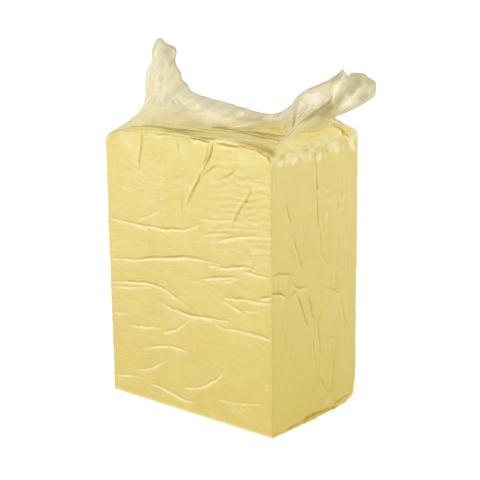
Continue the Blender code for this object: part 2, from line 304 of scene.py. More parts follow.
# Each side: its lower left corner seen from outside, and the way it runs to the right
SIDES = {
    "front": ((-WIDTH / 2, -DEPTH / 2), (1, 0)),
    "right": ((WIDTH / 2, -DEPTH / 2), (0, 1)),
    "back": ((WIDTH / 2, DEPTH / 2), (-1, 0)),
    "left": ((-WIDTH / 2, DEPTH / 2), (0, -1)),
    "top": ((-WIDTH / 2, -DEPTH / 2), (1, 0)),
}

# Folds as start, end, bow, sway and depth, in millimetres from a side's lower left corner. A
# depth below 0 makes a crease, which is pressed in more than it swells
FOLDS = {
    "front": (
        ((2, 193), (205, 215), 4, -3, 1.8),
        ((186, 211), (212, 211), 1, 0, 0.9),
        ((2, 249), (175, 263), -9, 2, 1.5),
        ((172, 269), (222, 274), 0, 0, 1.0),
        ((55, 252), (101, 272), 0, 0, 0.8),
        ((176, 248), (222, 258), 2, 0, 1.0),
        ((203, 244), (287, 262), 4, 1, 1.3),
        ((198, 208), (262, 217), 4, -1, 1.5),
        ((238, 216), (287, 210), -1, 0, 1.1),
        ((168, 189), (236, 202), 3, 0, 1.4),
        ((205, 192), (232, 201), 0, 0, 0.8),
        ((212, 173), (288, 180), 0, 1, 1.3),
        ((268, 180), (289, 188), 0, 0, 1.6),
        ((210, 168), (248, 155), 0, 0, 1.0),
        ((242, 161), (266, 166), 0, 0, 0.6),
        ((2, 158), (148, 147), 16, -2, 1.4),
        ((2, 151), (82, 164), 1, 0, 0.9),
        ((97, 147), (218, 144), -6, -1, 1.6),
        ((206, 131), (287, 132), 3, 0, 1.3),
        ((196, 137), (208, 131), 0, 0, 0.8),
        ((100, 105), (150, 134), -3, 0, 1.0),
        ((40, 104), (98, 109), 1, 0, 1.0),
        ((2, 117), (34, 120), 0, 0, 0.7),
        ((66, 75), (148, 87), 7, 0, 1.1),
        ((50, 43), (104, 66), -3, 0, 0.9),
        ((6, 25), (60, 33), 1, 0, 0.8),
        ((78, 26), (156, 19), 1, 2, 1.2),
        ((138, 37), (206, 72), -7, 0, 1.1),
        ((198, 33), (276, 47), -2, 0, 0.9),
        ((71, 356), (65, 322), 0, 1, -1.5),
        ((197, 357), (178, 327), 1, 0, -1.9),
        ((187, 352), (179, 334), 1, 0, -1.2),
        ((178, 328), (149, 284), -2, 0, -1.7),
        ((177, 321), (203, 335), 1, 0, -1.0),
        ((199, 320), (235, 337), -4, 0, -1.0),
        ((258, 322), (225, 265), 0, 1.5, -1.3),
        ((251, 322), (269, 325), 0, 0, 0.8),
        ((128, 313), (143, 318), 3, 0, -0.9),
        ((143, 300), (141, 268), 0, 0, -0.7),
        ((133, 352), (139, 336), 0, 0, -0.8),
        ((156, 359), (190, 355), 1, 0, -2.3),
        ((160, 357), (176, 358), 1, 0, 0.9),
        ((201, 355), (240, 357), -1, 0, -2.4),
        ((236, 358), (264, 359), 0, 0, -2.0),
        ((264, 359), (284, 354), 0, 0, -2.0),
        ((279, 359), (287, 351), 0, 0, -1.4),
        ((28, 359), (60, 357), 1, 0, 1.0),
        ((92, 357), (122, 358), -1, 0, 1.1),
    ),
    "right": (
        ((86, 350), (94, 258), 1, 0, -1.3),
        ((97, 256), (99, 228), 0, 0, -1.1),
        ((101, 226), (119, 206), -3, 0, -0.8),
        ((28, 303), (41, 270), -3, 0, -1.0),
        ((42, 258), (67, 204), -3, 1, -0.9),
        ((1, 212), (44, 204), 3, 0, 1.1),
        ((36, 200), (68, 183), -3, 0, 1.3),
        ((0, 190), (30, 179), 2, 0, 1.8),
        ((30, 178), (48, 184), 0, 0, 1.1),
        ((46, 184), (73, 130), 1, 0, -1.9),
        ((66, 176), (93, 130), 0, 3, -1.5),
        ((101, 158), (93, 131), 1, 0, 0.8),
        ((93, 130), (101, 84), 0, 0, -1.4),
        ((85, 110), (94, 60), 0, 0, 1.0),
        ((99, 60), (116, 31), -2, 0, -1.3),
        ((135, 98), (120, 18), 0, 0, -0.9),
        ((115, 108), (137, 100), 0, 0, 0.7),
        ((143, 156), (164, 106), -4, 0, 0.7),
        ((106, 175), (142, 163), 2, 0, 0.8),
        ((153, 360), (158, 355), 0, 0, -3.0),
        ((30, 4), (72, 5), 1, 0, -1.4),
        ((62, 6), (106, 8), 1, 0, -2.4),
        ((100, 7), (136, 5), -1, 0, -2.4),
        ((128, 9), (166, 13), 1, 0, -1.8),
    ),
}

# Small swellings beside the folds: across, up, half length, half height, rise
SWELLINGS = {
    "front": (
        (211, 358, 24, 3.5, 1.6),
        (157, 308, 14, 6, 0.8),
        (270, 320, 9, 3, 0.8),
        (140, 345, 16, 8, 0.9),
        (245, 347, 18, 6, 0.9),
        (48, 345, 15, 8, 0.7),
    ),
    "right": (
        (92, 305, 4, 3, 1.2),
        (114, 303, 3.5, 3, 1.0),
        (120, 292, 6, 3.5, 1.2),
        (146, 288, 5, 3.5, 1.0),
        (112, 273, 3.5, 3.5, 1.0),
        (140, 276, 5, 3.5, 1.0),
        (100, 60, 3, 8, 0.8),
        (112, 20, 9, 7, 1.4),
        (60, 165, 3, 5, 0.9),
    ),
}


def hidden_folds(span, count, slopes, rng):
    """Folds for a side of this width that the film's pull sets at about these slopes."""
    margin, lowest, highest = 6.0, 25.0, 335.0
    folds = []
    for i in range(count):
        length = rng.uniform(0.2, 0.55) * span
        slope = rng.uniform(*slopes)
        reach = length * math.cos(slope)
        x = rng.uniform(margin, span - margin - reach)
        z = blend(lowest, highest, (i + rng.random()) / count)
        end_z = min(max(z + length * math.sin(slope), lowest), highest)
        bow = rng.uniform(-0.08, 0.08) * length
        folds.append(((x, z), (x + reach, end_z), bow, bow / 3, rng.uniform(0.7, 1.5)))
    return folds


fold_draw = random.Random(SEED)
FOLDS["back"] = tuple(hidden_folds(WIDTH / MM, 18, (-0.25, 0.35), fold_draw))
FOLDS["left"] = tuple(hidden_folds(DEPTH / MM, 10, (0.9, 1.4), fold_draw))

# Faint folds of each pair of sides: number, slopes, and lengths in millimetres
FAINT_FOLDS = {
    ("front", "back"): ((150, (-0.4, 0.45), (13, 44)), (40, (1.2, 1.9), (8, 34))),
    ("right", "left"): ((70, (1.25, 1.9), (12, 60)), (20, (-0.6, 0.6), (7, 22))),
}


def faint_folds(span, count, slopes, lengths, rng):
    """Short, faint folds scattered between the deep ones."""
    margin, end_margin, lowest, highest = 3.0, 2.0, 4.0, 356.0
    folds = []
    for _ in range(count):
        slope = rng.uniform(*slopes)
        length = rng.uniform(*lengths)
        x = rng.uniform(margin, span - margin)
        z = rng.uniform(lowest + 2.0, highest - 4.0)
        end_x = min(max(x + length * math.cos(slope), end_margin), span - end_margin)
        end_z = min(max(z + length * math.sin(slope), lowest), highest)
        bow = rng.uniform(-0.15, 0.15) * length
        folds.append(((x, z), (end_x, end_z), bow, bow / 2, rng.uniform(0.12, 0.42)))
    return folds


for sides, groups in FAINT_FOLDS.items():
    span = (WIDTH if "front" in sides else DEPTH) / MM
    for side in sides:
        for number, slopes, lengths in groups:
            FOLDS[side] += tuple(faint_folds(span, number, slopes, lengths, fold_draw))

# The top's creases by its front edge and on its shoulder, and the streaks drawn across it
TOP_STREAKS = 26
TOP_MARGIN = 3.0
FOLDS["top"] = [
    ((268, 153), (288, 151), 0, 0, -3.4),
    ((272, 155), (288, 153.5), 0, 0, -3.0),
    ((150, 5), (206, 3), 0, 1, -2.0),
    ((192, 8), (262, 7), 1, 1, -2.4),
    ((4, 4), (96, 5), 1, 1, -1.8),
    ((70, 9), (168, 11), 2, 1, -1.8),
    ((10, 14), (130, 22), 2, 1, -1.6),
    ((160, 17), (236, 22), 2, 1, -1.8),
]
top_end = DEPTH / MM - TOP_MARGIN
for i in range(TOP_STREAKS):
    x = fold_draw.uniform(8.0, 170.0)
    y = blend(TOP_MARGIN, top_end, (i + fold_draw.random()) / TOP_STREAKS)
    end_y = min(max(y + fold_draw.uniform(-7.0, 7.0), TOP_MARGIN), top_end)
    end_x = x + fold_draw.uniform(45.0, 108.0)
    sway = fold_draw.uniform(-1.5, 1.5)
    FOLDS["top"].append(((x, y), (end_x, end_y), 2 * sway, sway, fold_draw.uniform(0.8, 1.7)))


def fold_points(fold):
    """One fold's bottom line as shares and places, the way aside from it, and its vigour."""
    start, end, bow, sway, _ = fold
    a, b = np.array(start) * MM, np.array(end) * MM
    along = (b - a) / np.linalg.norm(b - a)
    aside = np.array((-along[1], along[0]))
    t = np.linspace(0.0, 1.0, FOLD_STEPS + 1)
    length = math.dist(start, end)

    def drift(reach, pace, row):
        ground = [(start[0] * 0.7, start[1] * 0.7 + row, k * (length / pace)) for k in t]
        return reach * np.array([noise.noise(g) for g in ground])

    wander = sum(drift(*setting) for setting in FOLD_WANDER)
    off = (bow * 4 * t * (1 - t) + sway * np.sin(2 * np.pi * t) + wander) * MM
    vigour = np.clip(1.0 + drift(*FOLD_VIGOUR), 0.45, 1.4)
    return t, a + (b - a) * t[:, None] + aside * off[:, None], aside, vigour


def side_places(box_points, side):
    """Which points lie on a side, and their places on it."""
    corner, run = (np.array(v) for v in SIDES[side])
    if side == "top":
        here = box_points[:, 2] > HEIGHT - ON_SIDE
        return here, box_points[here, :2] - corner
    outward = np.array((run[1], -run[0]))
    depth = (box_points[:, :2] - corner) @ outward
    here = np.abs(depth) < ON_SIDE
    across = (box_points[here, :2] - corner) @ run
    return here, np.stack((across, box_points[here, 2]), axis=1)


# The three kinds of fold: how far the cheese swells beside it and is pressed in along it,
# as shares of its depth, how much shade is painted into its groove, and how broad it is
FOLD_KINDS = {
    "crease": (0.25, 0.75, 0.8, 1.3),
    "level": (1.15, 0.5, 0.55, 1.05),
    "upright": (0.4, 0.9, 0.75, 1.05),
}
LEVEL_FROM = 0.6
FAINT_DEPTH = 0.5
FAINT_BROADNESS = 1.3
# How far the swelling runs out, in widths, and the highlight each kind paints on its lit slope
LEVEL_RUN_OUT, UPRIGHT_RUN_OUT = 4.5, 2.0
CREASE_LIGHT, FAINT_LIGHT, LEVEL_LIGHT = 0.2, 0.35, 1.0


def fold_fields(places, side):
    """For each place: distance to the nearest fold, relief, and the shade and highlight painted
    there.
    """
    nearest = np.full(len(places), 1.0)
    relief, painted_shade, highlight_and_pale = (np.zeros(len(places)) for _ in range(3))
    for fold in FOLDS[side]:
        shares, points, aside, vigour = fold_points(fold)
        low = points.min(axis=0) - FOLD_MARGIN
        high = points.max(axis=0) + FOLD_MARGIN
        close = np.where(((places > low) & (places < high)).all(axis=1))[0]
        if len(close) == 0:
            continue
        spot = places[close]
        best = np.full(len(close), 1.0)
        signed = np.zeros(len(close))
        share = np.zeros(len(close))
        for k in range(FOLD_STEPS):
            a, b = points[k], points[k + 1]
            run = b - a
            t = np.clip(((spot - a) @ run) / (run @ run), 0.0, 1.0)
            gap = spot - (a + t[:, None] * run)
            length = np.linalg.norm(gap, axis=1)
            nearer = length < best
            best[nearer] = length[nearer]
            signed[nearer] = (gap @ aside)[nearer]
            share[nearer] = blend(shares[k], shares[k + 1], t)[nearer]
        taper = np.sqrt(np.clip(np.sin(np.pi * np.clip(share, 0.04, 0.96)), 0.0, 1.0))
        level = abs(aside[1]) > LEVEL_FROM
        signed *= np.sign(aside[1] if level else aside[0])
        depth = fold[4]
        faint = abs(depth) < FAINT_DEPTH
        kind = "crease" if depth < 0 else "level" if level else "upright"
        rise, dip, groove_shade, broadness = FOLD_KINDS[kind]
        if faint:
            broadness = FAINT_BROADNESS
        width = FOLD_HALF_WIDTH * (0.65 + 0.35 * taper) * broadness
        ends = np.where((share <= 0.0) | (share >= 1.0), hump(best, 0.0, width), 1.0)
        strength = taper * ends * abs(depth) * np.interp(share, shares, vigour)
        crest = -1.25 * width
        run_out = (LEVEL_RUN_OUT if level else UPRIGHT_RUN_OUT) * width
        below = np.minimum(signed - crest, 0.0) / run_out
        above = np.maximum(signed - crest, 0.0) / (0.85 * width)
        terrace = np.exp(-(below**2) - above**2)
        groove = hump(signed, 0.15 * width, 0.6 * width)
        lit_slope = hump(signed, -1.15 * width, 0.85 * width)
        light = FAINT_LIGHT if faint or not level else LEVEL_LIGHT
        if kind == "crease":
            light = CREASE_LIGHT
        relief[close] += (rise * terrace - dip * groove) * strength * MM
        # Painted shade in the groove, and a painted highlight on the lit slope beside it
        painted_shade[close] += groove_shade * groove * strength
        highlight_and_pale[close] += lit_slope * strength * light
        nearest[close] = np.minimum(nearest[close], best + (FINE_REACHES[2] if faint else 0.0))
    for x, z, half_length, half_height, rise in SWELLINGS.get(side, ()):
        away = ((places / MM - (x, z)) / (half_length, half_height)) ** 2
        swelling = np.exp(-away.sum(axis=1))
        relief += swelling * rise * MM
        # A painted highlight on each swelling
        highlight_and_pale += 0.3 * swelling * rise
        nearest = np.where(swelling > 0.05, np.minimum(nearest, FINE_REACHES[1] / 2), nearest)
    return nearest, relief, painted_shade, highlight_and_pale


# Patches of ripples, in millimetres: where they fade in and out across and up, their depth,
# the pull of their lines across and up, their spacing and how much they stray
FROM_START, TO_END = (-2, -1), (998, 999)
BROAD_RIPPLES = (
    ((175, 215), TO_END, (210, 240), (330, 350), 0.85, (-0.1, 1), 8.5, 0.8),
    ((20, 50), (105, 130), (270, 292), (318, 340), 0.55, (0.22, 1), 7.5, 0.8),
    (FROM_START, (12, 40), (196, 206), (222, 236), 0.55, (0, 1), 7.0, 0.8),
)
NARROW_RIPPLES = (
    ((58, 72), (92, 106), FROM_START, (95, 140), 0.35, (1, 0), 8.0, 0.9),
    ((115, 140), TO_END, (150, 200), (320, 345), 0.25, (1, 0.05), 9.0, 0.9),
)


def ripple_relief(places, side):
    """The shallow ripples that the film's pull leaves between the folds."""
    x, z = places.T / MM
    depth = np.zeros(len(places))
    if side == "top":
        return depth
    ground = np.stack((x / 26, z / 11, np.full(len(x), 3.0 * len(side))), axis=1)
    stray = np.array([noise.noise(p) for p in ground])
    broken = np.clip(0.75 + 0.9 * stray, 0.1, 1.0)
    patches = BROAD_RIPPLES if side in ("front", "back") else NARROW_RIPPLES
    for left, right, low, high, rise, pull, spacing, straying in patches:
        patch = ramp(*left, x) * (1 - ramp(*right, x)) * ramp(*low, z) * (1 - ramp(*high, z))
        wave = (x * pull[0] + z * pull[1]) / spacing + straying * stray
        depth += patch * rise * np.sin(2 * np.pi * wave)
    return depth * broken * MM


def lumps(box_points, scale, seed):
    """Smooth noise of this scale in metres, once for each point."""
    shift = Vector((seed * 7.3, seed * 3.1, seed * 5.7))
    return np.array([noise.noise(Vector(p) / scale + shift) for p in box_points])


def grid_lines(low, high):
    """Places of the grid lines along one side of the block, close at its edges."""
    inner_low, inner_high = low + EDGE_LINES[-1], high - EDGE_LINES[-1]
    count = max(2, round((inner_high - inner_low) / BASE_SPACING))
    wide = [blend(inner_low, inner_high, i / count) for i in range(1, count)]
    return [low + e for e in EDGE_LINES] + wide + [high - e for e in EDGE_LINES[::-1]]


def box_grid():
    """A sharp box of small quads, finer along the folds and ripples, as a bmesh."""
    bm = bmesh.new()
    lines = (
        grid_lines(-WIDTH / 2, WIDTH / 2),
        grid_lines(-DEPTH / 2, DEPTH / 2),
        grid_lines(0.0, HEIGHT),
    )
    for axis in range(3):
        first, second = [a for a in range(3) if a != axis]
        for level in (lines[axis][0], lines[axis][-1]):
            rows = []
            for p in lines[first]:
                row = []
                for q in lines[second]:
                    place = [0.0, 0.0, 0.0]
                    place[axis], place[first], place[second] = level, p, q
                    row.append(bm.verts.new(place))
                rows.append(row)
            for near, far in zip(rows, rows[1:]):
                for i in range(len(near) - 1):
                    bm.faces.new((near[i], near[i + 1], far[i + 1], far[i]))
    bmesh.ops.remove_doubles(bm, verts=bm.verts, dist=0.01 * MM)
    for reach in FINE_REACHES:
        bm.verts.index_update()
        points = np.array([v.co for v in bm.verts])
        fine = np.zeros(len(points), dtype=bool)
        for side in SIDES:
            here, places = side_places(points, side)
            nearest = fold_fields(places, side)[0]
            rippled = np.abs(ripple_relief(places, side)) > RIPPLE_SEEN
            rippled |= (points[here, 2] > HEIGHT - RIM_BAND) & (side != "top")
            fine[here] |= nearest < reach
            if reach == FINE_REACHES[0]:
                fine[here] |= rippled
        edges = [e for e in bm.edges if fine[e.verts[0].index] and fine[e.verts[1].index]]
        bmesh.ops.subdivide_edges(bm, edges=edges, cuts=1, use_grid_fill=True)
    bmesh.ops.recalc_face_normals(bm, faces=bm.faces)
    return bm


block_grid = box_grid()
block_points = np.array([v.co for v in block_grid.verts])
fold_relief, ripples, painted_shade, highlight_and_pale = (np.zeros(len(block_points)) for _ in range(4))
for side in SIDES:
    here, places = side_places(block_points, side)
    _, fold_relief[here], painted_shade[here], highlight_and_pale[here] = fold_fields(places, side)
    ripples[here] = ripple_relief(places, side)
fold_relief = np.clip(fold_relief, -DEEPEST_GROOVE, HIGHEST_SWELLING)
x, y, z = block_points.T
from_left, from_front, from_back = x + WIDTH / 2, y + DEPTH / 2, DEPTH / 2 - y
on_top = z > HEIGHT - ON_SIDE
on_end = (np.abs(np.abs(x) - WIDTH / 2) < ON_SIDE) & ~on_top
on_broad = ~on_top & ~on_end
wide_noise = lumps(block_points, 55 * MM, 1)
middle_noise = lumps(block_points, 21 * MM, 2)
lump_noise = lumps(block_points, 10 * MM, 3)
fine_noise = lumps(block_points, 4.5 * MM, 5)
streak_noise = lumps(block_points * np.array((0.16, 1.0, 1.0)), 9 * MM, 4)


def roughened(level, lump, fine):
    """A level made uneven by the small lumps and the fine ones, by these shares."""
    return level + lump * lump_noise + fine * fine_noise


# Crumbly curd hangs over the top of both ends and lies on the top's right shoulder
curd_line = HEIGHT - (CURD_DROP + CURD_WAVES * middle_noise + CURD_CRUMBS * lump_noise)
curded = on_end * ramp(-4 * MM, 3 * MM, z - curd_line)
shoulder_line = np.interp(y, *(np.array(SHOULDER_LINE).T * MM))
shoulder_line += CURD_CRUMBS * middle_noise * ramp(*SHOULDER_LINE_CALM, y)
curded += on_top * ramp(-5 * MM, 5 * MM, x - shoulder_line)
bare = 1 - np.clip(curded, 0.0, 1.0)

# The top painted in shade behind its front edge, and the pale scrap of curd that breaks it
top_shade = on_top * bare * ramp(0.5 * MM, 4.0 * MM, from_front + roughened(0.0, 1.5, 1.5) * MM)
top_shade *= ramp(1 * MM, 10 * MM, from_left) * ramp(2 * MM, 12 * MM, from_back)
scrap = hump(x, SCRAP_PLACE, SCRAP_HALF_LENGTH) * hump(from_front, 2 * MM, 5 * MM)
scrap *= ramp(HEIGHT - 4 * MM, HEIGHT - 1 * MM, z)
top_shade *= 1 - 0.9 * scrap

# Relief: soft lumps all over, rough ones at the rim and in the curd, bumps along the foot
rim = ramp(HEIGHT - RIM_DROP, HEIGHT - 4 * MM, z) * np.where(on_top, 0.4, 1.0)
rim_height = np.where(x > CALM_RIM_FROM, 0.6, 1.0)
soft_relief = (0.5 * wide_noise + 0.3 * middle_noise) * MM + ripples
soft_relief += rim * rim_height * roughened(0.0, 1.0, 0.4) * MM
soft_relief += curded * roughened(0.3, 0.6, 0.2) * MM
soft_relief += on_top * STREAK_RELIEF * streak_noise
soft_relief += ~on_top * roughened(0.0, 0.10, 0.08) * MM
soft_relief += SCRAP_RELIEF * scrap
soft_relief += on_end * hump(z, FOOT_BUMPS_UP, FOOT_BUMPS_REACH) * FOOT_BUMPS * lump_noise
shoulder_rise = shoulder_lift(x, y) * ramp(HEIGHT - SHOULDER_REACH, HEIGHT, z)

# Tones: pale curd and scrap; the rim paler, partly curd and partly painted highlight; painted
# highlight on the ripples' crests; random paler tone; a pale line along the front's foot; painted
# shade on both ends, heavier toward the foot, and along the left edge; an orange patch, and
# painted shade in a crease on the top
highlight_and_pale += curded * roughened(0.65, 0.75, 0.4)
highlight_and_pale += 0.9 * scrap
# Rim paler: partly curd, partly a painted highlight where the top edge catches the light
highlight_and_pale += on_broad * rim * roughened(0.1, 0.4, 0.0)
# Painted highlight on the ripples' crests
highlight_and_pale += 0.22 * ramp(0.05 * MM, 0.25 * MM, ripples)
highlight_and_pale += 0.12 * ~on_top * np.clip(middle_noise + 0.6 * lump_noise, 0.0, 1.0)
highlight_and_pale += 0.9 * hump(z, 0.0, 3.2 * MM) * (np.abs(from_front) < ON_SIDE)
# Painted shade on both ends, heavier toward the foot, and a painted shadow line along the foot
toward_foot = np.clip(1 - z / HEIGHT, 0.0, 1.0) ** 1.5
end_shade = 0.23 + 0.5 * toward_foot + 0.8 * hump(z, 0.0, 4.0 * MM)
painted_shade += on_end * (0.1 + 0.9 * bare) * end_shade
painted_shade *= 1 - 0.6 * top_shade
# Painted shade along the rounded left edge of the broad faces
painted_shade += on_broad * 0.5 * (1 - ramp(1 * MM, 6 * MM, from_left))
painted_shade = np.clip(painted_shade, 0.0, 1.0)
highlight_and_pale = np.clip(highlight_and_pale * (1 - 0.7 * painted_shade) * (1 - 0.85 * top_shade), 0.0, 1.0)
# An orange patch on the top behind the front edge, and painted shade along the top's crease near
# its right end
front_orange_patch = hump(x, 118 * MM, 24 * MM) * hump(y - 8 * MM * lump_noise, -83 * MM, 10 * MM)
rear_line = 61.5 * MM + 0.12 * (135 * MM - x)
rear_crease_shade = hump(x, 135 * MM, 12 * MM) * hump(y, rear_line, 3 * MM)
orange_patch_and_crease_shade = np.clip(on_top * (0.85 * front_orange_patch + rear_crease_shade), 0.0, 1.0)


def block_object(name, lift):
    """An object in the block's shape with this lift at each point of the grid."""
    mesh = bpy.data.meshes.new(name)
    block_grid.to_mesh(mesh)
    surface = block_surface(block_points, lift)
    surface[:, 2] += shoulder_rise
    surface[:, 2] = np.maximum(surface[:, 2], 0.0)
    mesh.vertices.foreach_set("co", surface.ravel())
    for title, values in (("painted_shade", painted_shade), ("highlight_and_pale", highlight_and_pale), ("top_shade", top_shade), ("orange_patch_and_crease_shade", orange_patch_and_crease_shade)):
        mesh.attributes.new(title, "FLOAT", "POINT").data.foreach_set("value", values)
    mesh.update()
    mesh.shade_smooth()
    return link(bpy.data.objects.new(name, mesh))


cheese = block_object("cheese", fold_relief + soft_relief - CHEESE_INSET)

# Colours: the cheese and its deeper tone, the top's painted shade and its darker painted streaks,
# the painted shade of grooves and ends, pale curd that also carries painted highlights, and an
# orange for a patch and for painted shade in a crease
CHEESE_PALE = (0.815, 0.68, 0.195, 1.0)
CHEESE_DEEP = (0.70, 0.53, 0.07, 1.0)
CHEESE_TOP_SHADE = (0.86, 0.72, 0.17, 1.0)
CHEESE_TOP_SHADE_STREAKS = (0.37, 0.29, 0.03, 1.0)
CHEESE_PAINTED_SHADE = (0.645, 0.49, 0.035, 1.0)
CHEESE_CURD_AND_HIGHLIGHT = (0.99, 0.915, 0.44, 1.0)
CHEESE_ORANGE = (0.68, 0.40, 0.03, 1.0)


def share_of(add, name):
    """The share that the mesh carries under this name."""
    return add("Attribute", attribute_name=name).outputs["Fac"]


def mixed(add, share, base, over):
    """One colour laid over another by this share."""
    inputs = {"Factor": share, "A": base, "B": over}
    return add("Mix", inputs, data_type="RGBA").outputs["Result"]


def mapped(add, value, span, to=(0.0, 1.0)):
    """A value's own span turned into another, and held beyond its ends."""
    inputs = {"Value": value, "From Min": span[0], "From Max": span[1]}
    inputs.update({"To Min": to[0], "To Max": to[1]})
    return add("MapRange", inputs).outputs[0]


def drawn_noise(add, place, cells, detail):
    """Noise with this many cells to the metre along each axis."""
    ground = add("Mapping", {"Vector": place, "Scale": cells}).outputs[0]
    return add("TexNoise", {"Vector": ground, "Scale": 1.0, "Detail": detail}).outputs["Fac"]


def combined(add, operation, a, b, clamped=False):
    """Two values put together by this operation, and held from 0 to 1 where clamped."""
    return add("Math", {0: a, 1: b}, operation=operation, use_clamp=clamped).outputs[0]


cheese_material = bpy.data.materials.new("white_cheddar")
add = shader_tree(cheese_material)
place = add("TexCoord").outputs["Object"]
height = add("SeparateXYZ", {"Vector": place}).outputs["Z"]
clouds = add("TexNoise", {"Vector": place, "Scale": 11.0, "Detail": 5.0}).outputs["Fac"]
deeper_below = mapped(add, height, (0.0, HEIGHT), (1.0, 0.14))
cloudy = add("Math", {0: clouds, 1: 0.5, 2: -0.25}, operation="MULTIPLY_ADD").outputs[0]
deepness = combined(add, "ADD", deeper_below, cloudy, clamped=True)
# Painted shade on the top behind its front edge, and darker painted streaks within it
top_shade_share = share_of(add, "top_shade")
streaks = drawn_noise(add, place, (6.0, 90.0, 20.0), 4.0)
top_shade_streaks = combined(add, "MULTIPLY", top_shade_share, mapped(add, streaks, (0.475, 0.545)))
curd = mixed(add, deepness, CHEESE_PALE, CHEESE_DEEP)
top_shaded_curd = mixed(add, top_shade_share, curd, CHEESE_TOP_SHADE)
streaked_top_curd = mixed(add, top_shade_streaks, top_shaded_curd, CHEESE_TOP_SHADE_STREAKS)
# Pale curd, and painted highlights on lit slopes, swellings, ripples and the rim
curd_and_highlight = mixed(add, share_of(add, "highlight_and_pale"), streaked_top_curd, CHEESE_CURD_AND_HIGHLIGHT)
# Painted shade in the grooves, on the ends and along the left edge
shade_painted_curd = mixed(add, share_of(add, "painted_shade"), curd_and_highlight, CHEESE_PAINTED_SHADE)
# The orange patch, and painted shade in the top's crease
cheese_colour = mixed(add, share_of(add, "orange_patch_and_crease_shade"), shade_painted_curd, CHEESE_ORANGE)
grain = add("TexNoise", {"Vector": place, "Scale": 420.0, "Detail": 4.0}).outputs["Fac"]
grain_bump = add("Bump", {"Height": grain, "Strength": 0.3, "Distance": 0.0006})
facing = add("SeparateXYZ", {"Vector": add("NewGeometry").outputs["Normal"]}).outputs["Y"]
broad_side = add("Math", {0: facing}, operation="ABSOLUTE").outputs[0]
rows = drawn_noise(add, place, (34.0, 34.0, 190.0), 3.0)
row_bump = add(
    "Bump",
    {
        "Height": combined(add, "MULTIPLY", rows, broad_side),
        "Strength": 0.9,
        "Distance": 0.0034,
        "Normal": grain_bump.outputs[0],
    },
)
lines = drawn_noise(add, place, (230.0, 230.0, 16.0), 2.0)
line_bump = add(
    "Bump",
    {"Height": lines, "Strength": 0.4, "Distance": 0.0008, "Normal": row_bump.outputs[0]},
)
cheese_surface = add(
    "BsdfPrincipled",
    {
        "Base Color": cheese_colour,
        "Roughness": mapped(add, clouds, (0.0, 1.0), (0.38, 0.6)),
        "Subsurface Weight": 0.25,
        "Subsurface Radius": (0.008, 0.005, 0.002),
        "Subsurface Scale": 0.5,
        "Specular IOR Level": 0.3,
        "Coat Weight": 0.8,
        "Coat Roughness": 0.2,
        "Normal": line_bump.outputs[0],
    },
)
add("OutputMaterial", {"Surface": cheese_surface.outputs[0]})
cheese.data.materials.append(cheese_material)
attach(cheese, "root")
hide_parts("cheese_block")

# The clinging film: the clear shrink bag where it lies on the cheese, a tenth of a millimetre
# thick and drawn tight by vacuum. It follows every groove and shines along the folds.

FILM_LIFT = 0.2 * MM
cling = block_object("cling_film", fold_relief + soft_relief + FILM_LIFT - CHEESE_INSET)

cling_material = bpy.data.materials.new("cling_film")
add = shader_tree(cling_material)
place = add("TexCoord").outputs["Object"]
fine_creases = drawn_noise(add, place, (45.0, 45.0, 130.0), 5.0)
crease_bump = add("Bump", {"Height": fine_creases, "Strength": 0.5, "Distance": 0.0012})
veil = mapped(add, fine_creases, (0.35, 0.7), (0.05, 0.12))
# The film's haze is whiter where highlights are painted and thinner where shade is painted
haze_with_highlight = add("Math", {0: share_of(add, "highlight_and_pale"), 1: 0.2, 2: veil}, operation="MULTIPLY_ADD")
haze_kept_in_shade = mapped(add, share_of(add, "painted_shade"), (0.0, 1.0), (1.0, 0.25))
haze_and_painted_light = combined(add, "MULTIPLY", haze_with_highlight.outputs[0], haze_kept_in_shade, clamped=True)
clear = add("BsdfTransparent")
gloss = add(
    "BsdfPrincipled",
    {
        "Base Color": (0.95, 0.90, 0.66, 1.0),
        "Roughness": 0.22,
        "Specular IOR Level": 0.6,
        "Coat Weight": 1.0,
        "Coat Roughness": 0.12,
        "Normal": crease_bump.outputs[0],
    },
)
film_mix = add("MixShader", {"Fac": haze_and_painted_light, 1: clear.outputs[0], 2: gloss.outputs[0]})
add("OutputMaterial", {"Surface": film_mix.outputs[0]})
cling.data.materials.append(cling_material)
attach(cling, "root")
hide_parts("cheese_block")

# The free film: the bag leaves the block's top as a tent, lies flat on itself along the
# middle as a double fin, and gathers at each end into a stiff, pleated ear.

FILM_STEPS_ALONG = 520
FILM_COLUMNS = ((0.0, 0.0), (0.5, 0.67), (0.85, 0.86), (1.0, 1.0))
FILM_STEPS_UP = 110
FOOT_DIP = 1.0 * MM
FIN_HALF_WALL = 1.0 * MM
EAR_HALF_WALL = 4.0 * MM
EAR_SHARE = 0.3
END_SHARE = 0.06
TENT_SHARE = 0.4
FULL_TENT_SHARE = 0.65
FULL_TENT_ROUND = 1.6
FULL_TENT_END = 0.84
TENT_LEAN = 1.5
GUSSET_SHARE = DEPTH / 2 / (WIDTH + DEPTH)
